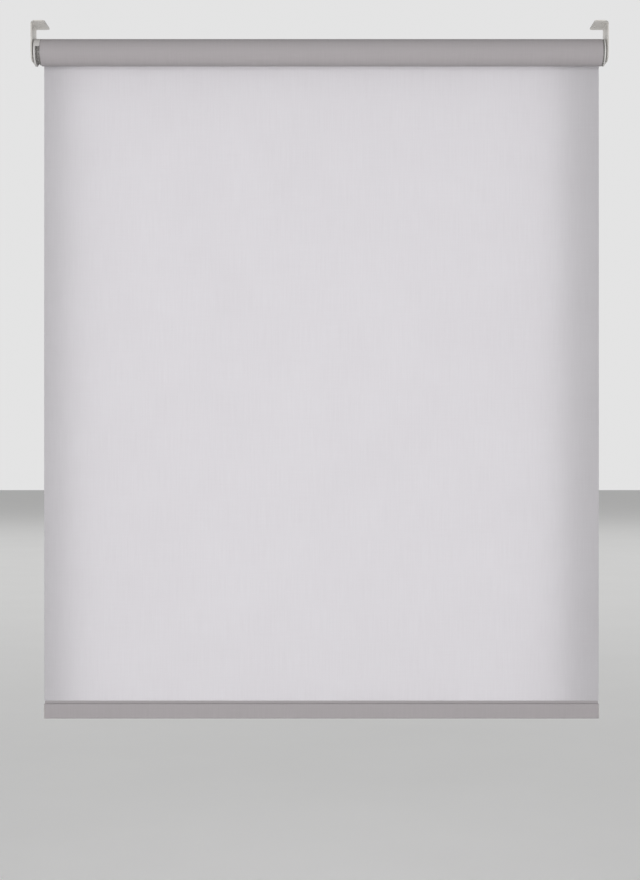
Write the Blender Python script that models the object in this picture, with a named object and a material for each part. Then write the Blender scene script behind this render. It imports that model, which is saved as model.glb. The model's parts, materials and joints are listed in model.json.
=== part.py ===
"""A roller blind with a side control, hung in a window recess and lowered.

The origin is on the head of the recess, midway between the brackets.
+X runs to the right along the roller, +Y towards the window and +Z up.
Every size is in metres. Pieces that turn are modelled about their own X axis
and parented to an empty on the roller's axis.
"""

import math

import bmesh
import bpy
from mathutils import Matrix, Vector

TURN = 2 * math.pi

# Overall sizes
BLIND_WIDTH = 0.985  # outside to outside of the two brackets
BLIND_DROP = 1.195  # head of the recess to the underside of the hem
ROLLER_DROP = 0.0461  # head of the recess to the roller's axis

# Clearances
TOUCH_GAP = 0.0003  # between pieces that rest on, or fit in, each other
TURN_GAP = 0.0005  # between faces that turn against each other
CUT_MARGIN = 0.002  # how far a cutter stands out of what it cuts
WELD = 1e-6  # points nearer than this are one point

# Brackets: an angle of sheet steel with a foot under the head of the recess
STEEL = 0.002
BEND_RADIUS = 0.0015  # inside the bend
FOOT_WIDTH = 0.0255
FOOT_FORWARD = 0.038  # from the roller's axis towards the room
FOOT_CORNER = 0.006
FOOT_SLANT = 0.0075  # cut off the foot's outer front corner
PLATE_FORWARD = 0.027
PLATE_BELOW = 0.018  # below the roller's axis
PLATE_CORNER = 0.014
BRACKET_BACK = 0.019  # from the roller's axis towards the window
FIXING_HOLE = 0.0025  # radius
FRONT_HOLE = 0.025  # forward of the roller's axis
BACK_HOLE = 0.003  # behind the roller's axis
NEAR_HOLE = 0.011  # in from the bracket's outer face
FAR_HOLE = 0.018
SIDE_HOLE = 0.002  # radius
SIDE_HOLE_FORWARD = 0.019
SIDE_HOLE_DROP = 0.0085

# Tube and fabric
TUBE_RADIUS = 0.0215
TUBE_WALL = 0.0012
GROOVE_WIDTH = 0.007
GROOVE_DEPTH = 0.0016
FABRIC = 0.00048  # thickness of the cloth
WOUND_LENGTH = 0.42  # cloth still on the tube when the blind is lowered
FABRIC_INSET = 0.0002  # from each end of the tube to the edge of the cloth

# Control end, on the left
HUB_THICKNESS = 0.0010  # holds the end discs clear of the brackets
HUB_RADIUS = 0.0165
RIM_CHAMFER = 0.0007
HOUSING_THICKNESS = 0.0034  # the disc alone
SPIGOT_WIDTH = 0.010
SPIGOT_HEIGHT = 0.014
TENON = 0.008  # side of the square end of the post
TENON_LENGTH = 0.0018
TENON_BORE = 0.0028  # radius, clear of the screw
POST_RADIUS = 0.0088
POST_LENGTH = 0.033
SCREW_RADIUS = 0.002
CHAIN_PITCH = 0.006
CHAIN_BALL = 0.0045  # diameter of the balls that the wheel's pockets take
POCKETS = 20
POCKET_WALL = 0.00055  # of the wheel, beside the balls
WHEEL_RIM = 0.0021  # rim above the pitch circle
GROOVE_AT_RIM = 0.0034
GROOVE_AT_ROOT = 0.0016
WHEEL_BORE_GAP = 0.0006
HOOD_GAP = 0.0005
HOOD_WALL = 0.0010
DISC_STEP = 0.0005  # the disc stands out of the hood
HOOD_LENGTH = 0.0076
HOOD_SWEEP = math.radians(149)
LIP_SWEEP = math.radians(50)
LIP_LENGTH = 0.014
LIP_WALL = 0.001
WIRE = 0.001  # side of the clutch springs' square wire
SPRING_GAP = 0.0008  # post to the inside of a clutch spring
SPRING_TURNS = 4
SPRING_PITCH = 0.0013
TANG_SWEEP = math.radians(8)  # from the lip to a tang, and from a tang to the rib
TANG_REACH = 0.0017
CORE_WALL = 0.002
CORE_END = 0.002
ADAPTOR_FLANGE = 0.0010
ADAPTOR_LENGTH = 0.036
FIN_WIDTH = 0.002
FINS = 12
WASHER_RADIUS = 0.0075
WASHER = 0.0008
SCREW_HEAD_RADIUS = 0.0042
SCREW_HEAD = 0.0024
SCREW_SLOT = 0.001

# Idle end, on the right
SOCKET_RADIUS = 0.0232
SOCKET_THICKNESS = 0.0028  # the disc alone
IDLE_GAP = 0.0006  # socket to the plug's flange
PLUG_FLANGE = 0.0012
PLUG_SLEEVE_WALL = 0.0016
BOSS_WALL = 0.002
PIN_RADIUS = 0.004
PIN_CHAMFER = 0.0008
PIN_GAP = 0.0003
PIN_TRAVEL = 0.0060
PIN_TIP_INSET = 0.0004  # the pin's tip stays this far inside the bracket's outer face
PIN_LENGTH = 0.0205  # tip to the collar
COLLAR_STEP = 0.002  # the collar stands out of the pin by this
COLLAR = 0.0015
TAIL_RADIUS = 0.0022
PIN_SPRING_WIRE = 0.0008
PIN_SPRING_TURNS = 7
PIN_SPRING_SPARE = 0.007  # left between its turns with the pin pushed in
PLUG_BACK = 0.002
RING_RADIUS = 0.0042
RING = 0.001

# Hem
HEM_BAR_HEIGHT = 0.024
HEM_BAR_DEPTH = 0.005
HEM_BAR_WALL = 0.0012
HEM_FORWARD = 0.0015  # from the hanging cloth to the middle of the bar
SEAM_BAND = 0.005  # welded band above the pocket
CAP_FLANGE = 0.0012
CAP_PROUD = 0.0002
CAP_PLUG = 0.014

# How finely round shapes are divided
FINE = 64
MEDIUM = 40
COARSE = 24

# Places along the roller, worked out from the sizes above
PLATE_IN = BLIND_WIDTH / 2 - STEEL
HOUSING_OUT = -PLATE_IN + TOUCH_GAP
HOUSING_IN = HOUSING_OUT + HUB_THICKNESS + HOUSING_THICKNESS
WHEEL_WIDTH = CHAIN_BALL + 2 * POCKET_WALL
WHEEL_OUT = HOUSING_IN + TURN_GAP
WHEEL_IN = WHEEL_OUT + WHEEL_WIDTH
DRIVE_OUT = WHEEL_IN + TURN_GAP
TUBE_LEFT = DRIVE_OUT + ADAPTOR_FLANGE + TOUCH_GAP
SOCKET_OUT = PLATE_IN - TOUCH_GAP
SOCKET_IN = SOCKET_OUT - HUB_THICKNESS - SOCKET_THICKNESS
PLUG_OUT = SOCKET_IN - IDLE_GAP
TUBE_RIGHT = PLUG_OUT - PLUG_FLANGE - TOUCH_GAP
CLOTH_LEFT = TUBE_LEFT + FABRIC_INSET
CLOTH_RIGHT = TUBE_RIGHT - FABRIC_INSET
POST_END = HOUSING_IN + TOUCH_GAP + POST_LENGTH
CORE_IN = POST_END + TOUCH_GAP + CORE_END
SCREW_SEAT = CORE_IN + TURN_GAP

# Places in the idle plug, measured from its outer face
PIN_TIP = BLIND_WIDTH / 2 - PIN_TIP_INSET - PLUG_OUT
COLLAR_STOP = PIN_TIP - PIN_LENGTH + TOUCH_GAP
COLLAR_BACK = COLLAR_STOP - TOUCH_GAP - COLLAR
PIN_SPRING_LENGTH = PIN_TRAVEL + (PIN_SPRING_TURNS + 1) * PIN_SPRING_WIRE + PIN_SPRING_SPARE
SPRING_SEAT = COLLAR_BACK - PIN_SPRING_LENGTH - 2 * TOUCH_GAP
PLUG_BACK_FACE = SPRING_SEAT - PLUG_BACK
PIN_TAIL = PLUG_BACK_FACE - TOUCH_GAP - 2 * RING

# Radii, worked out from the sizes above
TUBE_BORE = TUBE_RADIUS - TUBE_WALL
CHANNEL_RADIUS = TUBE_BORE - GROOVE_DEPTH  # the groove's floor, seen from inside
FIN_RADIUS = TUBE_BORE - TOUCH_GAP
ROLL_RADIUS = math.sqrt(TUBE_RADIUS**2 + WOUND_LENGTH * FABRIC / math.pi)
PLUG_SLEEVE = CHANNEL_RADIUS - TOUCH_GAP
PITCH_RADIUS = POCKETS * CHAIN_PITCH / TURN
WHEEL_RADIUS = PITCH_RADIUS + WHEEL_RIM
WHEEL_BORE = POST_RADIUS + WHEEL_BORE_GAP
HOOD_BORE = max(WHEEL_RADIUS, TUBE_RADIUS) + HOOD_GAP
HOUSING_RADIUS = HOOD_BORE + HOOD_WALL + DISC_STEP
COIL_RADIUS = POST_RADIUS + SPRING_GAP + WIRE / 2
LIP_BORE = COIL_RADIUS + WIRE
LIP_RADIUS = LIP_BORE + LIP_WALL
CORE_BORE = LIP_RADIUS + TURN_GAP
CORE_RADIUS = CORE_BORE + CORE_WALL
ADAPTOR_BORE = CORE_RADIUS + TOUCH_GAP
PIN_BORE = PIN_RADIUS + PIN_GAP
COLLAR_RADIUS = PIN_RADIUS + COLLAR_STEP
PIN_CAVITY = COLLAR_RADIUS + PIN_GAP
BOSS_RADIUS = PIN_CAVITY + BOSS_WALL

# Places across and down
CLOTH_FRONT = ROLL_RADIUS + TOUCH_GAP
CLOTH_MIDDLE = CLOTH_FRONT + FABRIC / 2
POCKET_END_RADIUS = HEM_BAR_DEPTH / 2 + TOUCH_GAP + FABRIC
HEM_MIDDLE = CLOTH_MIDDLE - HEM_FORWARD
BAR_MIDDLE_Z = -BLIND_DROP + POCKET_END_RADIUS + (HEM_BAR_HEIGHT - HEM_BAR_DEPTH) / 2
POCKET_TOP = BAR_MIDDLE_Z + (HEM_BAR_HEIGHT - HEM_BAR_DEPTH) / 2 + POCKET_END_RADIUS
SEAM_TOP = POCKET_TOP + SEAM_BAND
HEM_LEFT = CLOTH_LEFT - CAP_PROUD
HEM_RIGHT = CLOTH_RIGHT + CAP_PROUD

UP = math.pi / 2
DOWN = -math.pi / 2


def clear_scene():
    for obj in list(bpy.data.objects):
        bpy.data.objects.remove(obj, do_unlink=True)


def finish(name, colour, roughness, metallic=0.0):
    """A Principled material; colour is linear red, green and blue."""
    made = bpy.data.materials.new(name)
    made.use_nodes = True
    shader = made.node_tree.nodes["Principled BSDF"]
    shader.inputs["Base Color"].default_value = (*colour, 1.0)
    shader.inputs["Roughness"].default_value = roughness
    shader.inputs["Metallic"].default_value = metallic
    return made


def empty(name, place, parent=None):
    made = bpy.data.objects.new(name, None)
    bpy.context.scene.collection.objects.link(made)
    made.empty_display_size = 0.02
    made.parent = parent
    made.location = place
    return made


def in_scene(name, bm, parent, place):
    """Puts a bmesh into the scene as an object, shaded smooth over its round faces."""
    mesh = bpy.data.meshes.new(name)
    bm.to_mesh(mesh)
    bm.free()
    mesh.shade_smooth()
    mesh.set_sharp_from_angle(angle=math.radians(35))
    made = bpy.data.objects.new(name, mesh)
    bpy.context.scene.collection.objects.link(made)
    made.parent = parent
    made.location = place
    return made


def piece(name, bm, look, parent, place=(0, 0, 0)):
    made = in_scene(name, bm, parent, place)
    made.data.materials.append(look)
    return made


def helper(name, bm, parent, place=(0, 0, 0)):
    """A shape that only cuts or adds to another."""
    made = in_scene(name, bm, parent, place)
    made.hide_render = True
    made.display_type = "WIRE"
    return made


def combine(target, tool, operation):
    modifier = target.modifiers.new(tool.name, "BOOLEAN")
    modifier.solver = "EXACT"
    modifier.operation = operation
    modifier.object = tool


def closed(bm):
    """Welds a shape's seams and points its faces outwards."""
    bmesh.ops.remove_doubles(bm, verts=bm.verts, dist=WELD)
    bmesh.ops.recalc_face_normals(bm, faces=bm.faces)
    return bm


def turned(profile, segments, start=0.0, sweep=TURN):
    """Carries an outline of (x, radius) points round the X axis.

    The sweep starts at the angle start, where 0 is +Y and a quarter turn is +Z.
    A profile that begins and ends at radius 0 makes a solid with no bore.
    """
    bm = bmesh.new()
    around = (math.cos(start), math.sin(start))
    corners = [bm.verts.new((x, radius * around[0], radius * around[1])) for x, radius in profile]
    whole = abs(sweep - TURN) < WELD
    if whole:
        sides = [
            bm.edges.new((corners[i - 1], corners[i]))
            for i in range(len(profile))
            if profile[i - 1][1] > 0 or profile[i][1] > 0
        ]
        outline = corners + sides
    else:
        face = bm.faces.new(corners)
        outline = corners + list(face.edges) + [face]
    bmesh.ops.spin(
        bm, geom=outline, cent=(0, 0, 0), axis=(1, 0, 0), angle=sweep, steps=segments, use_merge=whole
    )
    return closed(bm)


def loop_of(bm, outline, place):
    corners = [bm.verts.new(place(u, v)) for u, v in outline]
    return [bm.edges.new((corners[i - 1], corners[i])) for i in range(len(corners))]


def along_x(u, v):
    """Outline points (y, z) for a shape extruded along X."""
    return (0, u, v)


def along_y(u, v):
    """Outline points (x, z) for a shape extruded along Y."""
    return (u, 0, v)


def along_z(u, v):
    """Outline points (x, y) for a shape extruded along Z."""
    return (u, v, 0)


def prism(outline, length, place=along_x, hole=None):
    """An outline extruded from 0 to length, along the axis that place leaves at 0."""
    bm = bmesh.new()
    edges = loop_of(bm, outline, place)
    if hole:
        edges += loop_of(bm, hole, place)
    axis = Vector(place(1, 0)).cross(Vector(place(0, 1)))
    filled = bmesh.ops.triangle_fill(bm, edges=edges, use_beauty=True, normal=axis)
    base = [item for item in filled["geom"] if isinstance(item, bmesh.types.BMFace)]
    raised = bmesh.ops.extrude_face_region(bm, geom=base)
    tops = [item for item in raised["geom"] if isinstance(item, bmesh.types.BMVert)]
    bmesh.ops.translate(bm, verts=tops, vec=[abs(c) * length for c in axis])
    return closed(bm)


def box(low, high):
    """A rectangular block between two corners."""
    bm = bmesh.new()
    bmesh.ops.create_cube(bm, size=1.0)
    size = [b - a for a, b in zip(low, high)]
    middle = [(a + b) / 2 for a, b in zip(low, high)]
    bmesh.ops.scale(bm, verts=bm.verts, vec=size)
    bmesh.ops.translate(bm, verts=bm.verts, vec=middle)
    return bm


def joined(shapes):
    """Several shapes that don't meet, as one bmesh."""
    whole = bmesh.new()
    for shape in shapes:
        part = bpy.data.meshes.new("part")
        shape.to_mesh(part)
        shape.free()
        whole.from_mesh(part)
        bpy.data.meshes.remove(part)
    return whole


def shifted(bm, offset):
    bmesh.ops.translate(bm, verts=bm.verts, vec=offset)
    return bm


def arc(centre, radius, start, end, steps):
    """Points on an arc from the angle start to the angle end, both included."""
    angles = [start + (end - start) * i / steps for i in range(steps + 1)]
    return [(centre[0] + radius * math.cos(a), centre[1] + radius * math.sin(a)) for a in angles]


def circle(centre, radius, segments):
    return arc(centre, radius, 0, TURN, segments)[:-1]


def rounded_corner(before, corner, after, radius, steps=5):
    """The arc that rounds one corner of an outline."""
    point = Vector(corner)
    back = (Vector(before) - point).normalized()
    on = (Vector(after) - point).normalized()
    half = back.angle(on) / 2
    centre = point + (back + on).normalized() * radius / math.sin(half)
    first = point + back * radius / math.tan(half) - centre
    turn = first.angle_signed(point + on * radius / math.tan(half) - centre)
    start = math.atan2(first.y, first.x)
    return arc(centre, radius, start, start - turn, steps)


def stadium(centre, width, height, steps=8):
    """An upright outline with half-round ends, anticlockwise from the lower end."""
    radius = width / 2
    half = height / 2 - radius
    low = arc((centre[0], centre[1] - half), radius, -math.pi, 0, steps)
    high = arc((centre[0], centre[1] + half), radius, 0, math.pi, steps)
    return low + high


def angle_iron(side):
    """The bracket's bent section along its whole depth, oversize where it's trimmed later."""
    outer = BEND_RADIUS + STEEL
    foot_end = FOOT_WIDTH + CUT_MARGIN
    bottom = -(ROLLER_DROP + PLATE_BELOW + CUT_MARGIN)
    section = [(foot_end, -STEEL), (foot_end, 0)]
    section += arc((outer, -outer), outer, UP, math.pi, 6)
    section += [(0, bottom), (STEEL, bottom)]
    section += arc((outer, -outer), BEND_RADIUS, math.pi, UP, 6)
    front = -FOOT_FORWARD - CUT_MARGIN
    depth = BRACKET_BACK + CUT_MARGIN - front
    across = [(side * (BLIND_WIDTH / 2 - u), v) for u, v in section]
    return shifted(prism(across, depth, along_y), (0, front, 0))


def plate_outline():
    """The side plate's outline, which opens out above the bend to leave the foot whole."""
    bend = -(STEEL + BEND_RADIUS)
    bottom = -(ROLLER_DROP + PLATE_BELOW)
    front_top = (-PLATE_FORWARD, bend)
    front_low = (-PLATE_FORWARD, bottom)
    back_low = (BRACKET_BACK, bottom)
    back_top = (BRACKET_BACK, bend)
    wide_front = -FOOT_FORWARD - CUT_MARGIN
    wide_back = BRACKET_BACK + CUT_MARGIN
    return (
        [(wide_front, CUT_MARGIN), (wide_front, bend), front_top]
        + rounded_corner(front_top, front_low, back_low, PLATE_CORNER, 8)
        + rounded_corner(front_low, back_low, back_top, PLATE_CORNER, 8)
        + [back_top, (wide_back, bend), (wide_back, CUT_MARGIN)]
    )


def foot_outline(side):
    """The foot's outline: a slanted outer front corner and two rounded inner corners."""
    outer = BLIND_WIDTH / 2
    inner = outer - FOOT_WIDTH
    slant_end = (outer - FOOT_SLANT, -FOOT_FORWARD)
    front = (inner, -FOOT_FORWARD)
    back = (inner, BRACKET_BACK)
    back_end = (outer + CUT_MARGIN, BRACKET_BACK)
    outline = (
        [back_end, (outer + CUT_MARGIN, -PLATE_FORWARD), (outer, -PLATE_FORWARD), slant_end]
        + rounded_corner(slant_end, front, back, FOOT_CORNER)
        + rounded_corner(front, back, back_end, FOOT_CORNER)
    )
    return [(side * x, y) for x, y in outline]


def bracket_holes(side):
    """Two fixing holes set diagonally in the foot, and one in the side plate."""
    depth = STEEL + 2 * CUT_MARGIN
    front_inset, back_inset = (NEAR_HOLE, FAR_HOLE) if side > 0 else (FAR_HOLE, NEAR_HOLE)
    cuts = []
    for inset, y in ((front_inset, -FRONT_HOLE), (back_inset, BACK_HOLE)):
        place = (side * (BLIND_WIDTH / 2 - inset), y)
        cut = prism(circle(place, FIXING_HOLE, COARSE), depth, along_z)
        cuts.append(shifted(cut, (0, 0, -STEEL - CUT_MARGIN)))
    place = (-SIDE_HOLE_FORWARD, -SIDE_HOLE_DROP)
    start = side * (BLIND_WIDTH / 2 - STEEL / 2) - depth / 2
    cuts.append(shifted(prism(circle(place, SIDE_HOLE, COARSE), depth), (start, 0, 0)))
    return joined(cuts)


def bracket(name, side, axis_hole, look, head):
    """A bracket; axis_hole is the (y, z) outline of its opening on the roller's axis."""
    made = piece(name, angle_iron(side), look, head)
    through = STEEL + 2 * CUT_MARGIN
    start = side * (BLIND_WIDTH / 2 - STEEL / 2) - through / 2
    reach = 2 * (FOOT_WIDTH + CUT_MARGIN)
    plate = shifted(prism(plate_outline(), reach), (side * BLIND_WIDTH / 2 - reach / 2, 0, 0))
    foot = shifted(prism(foot_outline(side), BLIND_DROP, along_z), (0, 0, -BLIND_DROP / 2))
    opening = shifted(prism(axis_hole, through), (start, 0, 0))
    combine(made, helper(f"{name}_plate", plate, head), "INTERSECT")
    combine(made, helper(f"{name}_foot", foot, head), "INTERSECT")
    combine(made, helper(f"{name}_holes", bracket_holes(side), head), "DIFFERENCE")
    combine(made, helper(f"{name}_opening", opening, head), "DIFFERENCE")


def rectangle(centre, width, height):
    y, z = centre
    return [
        (y - width / 2, z - height / 2),
        (y + width / 2, z - height / 2),
        (y + width / 2, z + height / 2),
        (y - width / 2, z + height / 2),
    ]


def disc_profile(thickness, radius, bore):
    """A disc with both rims chamfered, from x = 0, and a hub on it up to x = -HUB_THICKNESS."""
    return [
        (-HUB_THICKNESS, bore),
        (-HUB_THICKNESS, HUB_RADIUS),
        (0, HUB_RADIUS),
        (0, radius - RIM_CHAMFER),
        (RIM_CHAMFER, radius),
        (thickness - RIM_CHAMFER, radius),
        (thickness, radius - RIM_CHAMFER),
        (thickness, bore),
    ]


def control_housing(look, axis):
    """The moulded end disc, its hood over the chain wheel and its spigot in the bracket."""
    place = (HOUSING_OUT + HUB_THICKNESS, 0, 0)
    disc = turned(disc_profile(HOUSING_THICKNESS, HOUSING_RADIUS, 0), FINE)
    made = piece("control_housing", disc, look, axis, place)
    root = HOUSING_THICKNESS / 2
    tip = HOUSING_THICKNESS + HOOD_LENGTH
    outer = HOUSING_RADIUS - DISC_STEP
    section = [(root, HOOD_BORE), (tip, HOOD_BORE), (tip, outer), (root, outer)]
    hood = turned(section, COARSE, UP - HOOD_SWEEP / 2, HOOD_SWEEP)
    combine(made, helper("control_housing_hood", hood, axis, place), "UNION")
    half = (SPIGOT_WIDTH / 2, SPIGOT_HEIGHT / 2)
    spigot = box((-HUB_THICKNESS - STEEL, -half[0], -half[1]), (root, half[0], half[1]))
    combine(made, helper("control_housing_spigot", spigot, axis, place), "UNION")
    side = TENON / 2 + TOUCH_GAP
    floor = HOUSING_THICKNESS - TENON_LENGTH - TOUCH_GAP
    pocket = box((floor, -side, -side), (HOUSING_THICKNESS + CUT_MARGIN, side, side))
    combine(made, helper("control_housing_pocket", pocket, axis, place), "DIFFERENCE")


def fixed_post(look, axis):
    """The post that the control turns on, with a square tenon in the housing."""
    place = (HOUSING_IN + TOUCH_GAP, 0, 0)
    bore = SCREW_RADIUS + TOUCH_GAP
    profile = [(0, bore), (0, POST_RADIUS), (POST_LENGTH, POST_RADIUS), (POST_LENGTH, bore)]
    made = piece("fixed_post", turned(profile, MEDIUM), look, axis, place)
    square = rectangle((0, 0), TENON, TENON)
    tenon = prism(square, TENON_LENGTH * 2, hole=circle((0, 0), TENON_BORE, COARSE))
    combine(made, helper("fixed_post_tenon", shifted(tenon, (-TENON_LENGTH, 0, 0)), axis, place), "UNION")


def wheel_profile():
    """The wheel's section, with a groove for the chain round its rim."""
    middle = WHEEL_WIDTH / 2
    root = PITCH_RADIUS - CHAIN_BALL / 4
    return [
        (0, WHEEL_BORE),
        (0, WHEEL_RADIUS),
        (middle - GROOVE_AT_RIM / 2, WHEEL_RADIUS),
        (middle - GROOVE_AT_ROOT / 2, root),
        (middle + GROOVE_AT_ROOT / 2, root),
        (middle + GROOVE_AT_RIM / 2, WHEEL_RADIUS),
        (WHEEL_WIDTH, WHEEL_RADIUS),
        (WHEEL_WIDTH, WHEEL_BORE),
    ]


def ball_pockets():
    balls = []
    for i in range(POCKETS):
        ball = bmesh.new()
        bmesh.ops.create_uvsphere(ball, u_segments=8, v_segments=5, radius=(CHAIN_BALL + TOUCH_GAP) / 2)
        angle = TURN * i / POCKETS
        place = (WHEEL_WIDTH / 2, PITCH_RADIUS * math.cos(angle), PITCH_RADIUS * math.sin(angle))
        balls.append(shifted(ball, place))
    return joined(balls)


def chain_wheel(look, axis):
    """The grooved wheel that a ball chain turns, with the lip that frees the clutch springs."""
    place = (WHEEL_OUT, 0, 0)
    made = piece("chain_wheel", turned(wheel_profile(), POCKETS * 3), look, axis, place)
    combine(made, helper("chain_wheel_pockets", ball_pockets(), axis, place), "DIFFERENCE")
    tip = WHEEL_WIDTH + LIP_LENGTH
    section = [(WHEEL_WIDTH / 2, LIP_BORE), (tip, LIP_BORE), (tip, LIP_RADIUS), (WHEEL_WIDTH / 2, LIP_RADIUS)]
    lip = turned(section, 8, UP - LIP_SWEEP / 2, LIP_SWEEP)
    combine(made, helper("chain_wheel_lip", lip, axis, place), "UNION")


def coil(name, points, wire, look, parent, place):
    """A spring bent from wire along these points."""
    data = bpy.data.curves.new(name, "CURVE")
    data.dimensions = "3D"
    data.bevel_depth = wire
    data.bevel_resolution = 0
    data.use_fill_caps = True
    spline = data.splines.new("POLY")
    spline.points.add(len(points) - 1)
    for point, at in zip(spline.points, points):
        point.co = (*at, 1)
    made = bpy.data.objects.new(name, data)
    bpy.context.scene.collection.objects.link(made)
    made.data.materials.append(look)
    made.parent = parent
    made.location = place
    return made


def clutch_spring(name, x, look, axis):
    """A wrap spring that grips the post, with a tang bent outwards at each end."""
    gap = LIP_SWEEP / 2 + TANG_SWEEP
    first = UP + gap
    last = UP - gap + TURN * (SPRING_TURNS + 1)
    steps = SPRING_TURNS * 20
    points = []
    for i in range(steps + 1):
        angle = first + (last - first) * i / steps
        along = SPRING_PITCH * (angle - first) / TURN
        points.append((along, COIL_RADIUS * math.cos(angle), COIL_RADIUS * math.sin(angle)))
    tang = COIL_RADIUS + TANG_REACH
    points.insert(0, (points[0][0], tang * math.cos(first), tang * math.sin(first)))
    points.append((points[-1][0], tang * math.cos(last), tang * math.sin(last)))
    return coil(name, points, WIRE / 2, look, axis, (x, 0, 0))


def drive_core(look, axis):
    """The sleeve round the clutch springs, with the rib that their tangs lock against."""
    place = (DRIVE_OUT, 0, 0)
    wall = POST_END + TOUCH_GAP - DRIVE_OUT
    end = wall + CORE_END
    profile = [
        (0, CORE_BORE),
        (0, CORE_RADIUS),
        (end, CORE_RADIUS),
        (end, SCREW_RADIUS + TURN_GAP),
        (wall, SCREW_RADIUS + TURN_GAP),
        (wall, CORE_BORE),
    ]
    made = piece("drive_core", turned(profile, MEDIUM), look, axis, place)
    gap = LIP_SWEEP / 2 + 2 * TANG_SWEEP
    outer = CORE_BORE + CORE_WALL / 2
    section = [(TURN_GAP, LIP_BORE), (wall / 2, LIP_BORE), (wall / 2, outer), (TURN_GAP, outer)]
    rib = turned(section, COARSE, UP + gap, TURN - 2 * gap)
    combine(made, helper("drive_core_rib", rib, axis, place), "UNION")


def fins(inner, start, end):
    """Fins that centre a plug in the tube, with none where the tube's channel is."""
    blades = []
    for i in range(1, FINS):
        blade = box((start, inner, -FIN_WIDTH / 2), (end, FIN_RADIUS, FIN_WIDTH / 2))
        turn = Matrix.Rotation(DOWN + TURN * i / FINS, 3, "X")
        bmesh.ops.rotate(blade, cent=(0, 0, 0), matrix=turn, verts=blade.verts)
        blades.append(blade)
    return joined(blades)


def tube_adaptor(look, axis):
    """The crown that carries the drive into the tube, with a flange at the tube's end."""
    place = (DRIVE_OUT, 0, 0)
    profile = [
        (0, ADAPTOR_BORE),
        (0, TUBE_RADIUS),
        (ADAPTOR_FLANGE, TUBE_RADIUS),
        (ADAPTOR_FLANGE, PLUG_SLEEVE),
        (ADAPTOR_LENGTH, PLUG_SLEEVE),
        (ADAPTOR_LENGTH, ADAPTOR_BORE),
    ]
    made = piece("tube_adaptor", turned(profile, MEDIUM), look, axis, place)
    root = (ADAPTOR_BORE + PLUG_SLEEVE) / 2
    blades = fins(root, ADAPTOR_FLANGE + TOUCH_GAP, ADAPTOR_LENGTH - TURN_GAP)
    combine(made, helper("tube_adaptor_fins", blades, axis, place), "UNION")


def core_washer(look, axis):
    bore = SCREW_RADIUS + TOUCH_GAP
    profile = [(0, bore), (0, WASHER_RADIUS), (WASHER, WASHER_RADIUS), (WASHER, bore)]
    piece("core_washer", turned(profile, COARSE), look, axis, (SCREW_SEAT, 0, 0))


def core_screw(look, axis):
    """The screw that keeps the core on the post, with a slotted head."""
    length = SCREW_SEAT + WASHER + TOUCH_GAP - (HOUSING_IN + POST_LENGTH / 2)
    profile = [
        (-length, 0),
        (-length, SCREW_RADIUS),
        (0, SCREW_RADIUS),
        (0, SCREW_HEAD_RADIUS),
        (SCREW_HEAD / 2, SCREW_HEAD_RADIUS),
        (SCREW_HEAD, SCREW_HEAD_RADIUS - SCREW_HEAD / 2),
        (SCREW_HEAD, 0),
    ]
    place = (SCREW_SEAT + WASHER + TOUCH_GAP, 0, 0)
    made = piece("core_screw", turned(profile, COARSE), look, axis, place)
    half = SCREW_SLOT / 2
    slot = box((SCREW_HEAD / 2, -SCREW_HEAD_RADIUS * 2, -half), (SCREW_HEAD * 2, SCREW_HEAD_RADIUS * 2, half))
    combine(made, helper("core_screw_slot", slot, axis, place), "DIFFERENCE")


def tube_outline(radius, half_width):
    """A circle with a rectangular notch of the groove's depth at its lowest point."""
    half = math.asin(half_width / radius)
    floor = radius - GROOVE_DEPTH
    low = math.asin(half_width / floor)
    notch = arc((0, 0), floor, DOWN - low, DOWN + low, 2)
    return arc((0, 0), radius, DOWN + half, DOWN - half + TURN, FINE) + notch


def roller_tube(look, axis):
    """The aluminium tube, with a groove rolled in for the cloth's fixing strip."""
    outer = tube_outline(TUBE_RADIUS, GROOVE_WIDTH / 2)
    inner = tube_outline(TUBE_BORE, GROOVE_WIDTH / 2 + TUBE_WALL)
    shape = prism(outer, TUBE_RIGHT - TUBE_LEFT, hole=inner)
    piece("roller_tube", shape, look, axis, (TUBE_LEFT, 0, 0))


def fabric_fixing_strip(look, axis):
    """The plastic strip that holds the cloth's top edge in the tube's groove."""
    half = GROOVE_WIDTH / 2 - TOUCH_GAP
    low = -math.sqrt((TUBE_RADIUS - TOUCH_GAP) ** 2 - half**2)
    high = -(TUBE_RADIUS - GROOVE_DEPTH + TOUCH_GAP)
    outline = [(-half, high), (-half, low), (half, low), (half, high)]
    piece("fabric_fixing_strip", prism(outline, CLOTH_RIGHT - CLOTH_LEFT), look, axis, (CLOTH_LEFT, 0, 0))


def fabric_roll(look, axis):
    """The cloth still wound on the tube."""
    length = CLOTH_RIGHT - CLOTH_LEFT
    bore = TUBE_RADIUS + TOUCH_GAP
    profile = [(0, bore), (0, ROLL_RADIUS), (length, ROLL_RADIUS), (length, bore)]
    piece("fabric_roll", turned(profile, FINE), look, axis, (CLOTH_LEFT, 0, 0))


def fabric_sheet(look, head):
    """The hanging cloth, from the back of the roll down to the hem."""
    low = (CLOTH_LEFT, CLOTH_FRONT, SEAM_TOP + TOUCH_GAP)
    high = (CLOTH_RIGHT, CLOTH_FRONT + FABRIC, -ROLLER_DROP)
    piece("fabric_sheet", box(low, high), look, head)


def idle_socket(look, axis):
    """The moulded disc on the idle bracket that the roller's pin turns in."""
    profile = [(-x, radius) for x, radius in disc_profile(SOCKET_THICKNESS, SOCKET_RADIUS, PIN_BORE)]
    piece("idle_socket", turned(profile, FINE), look, axis, (SOCKET_OUT - HUB_THICKNESS, 0, 0))


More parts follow.
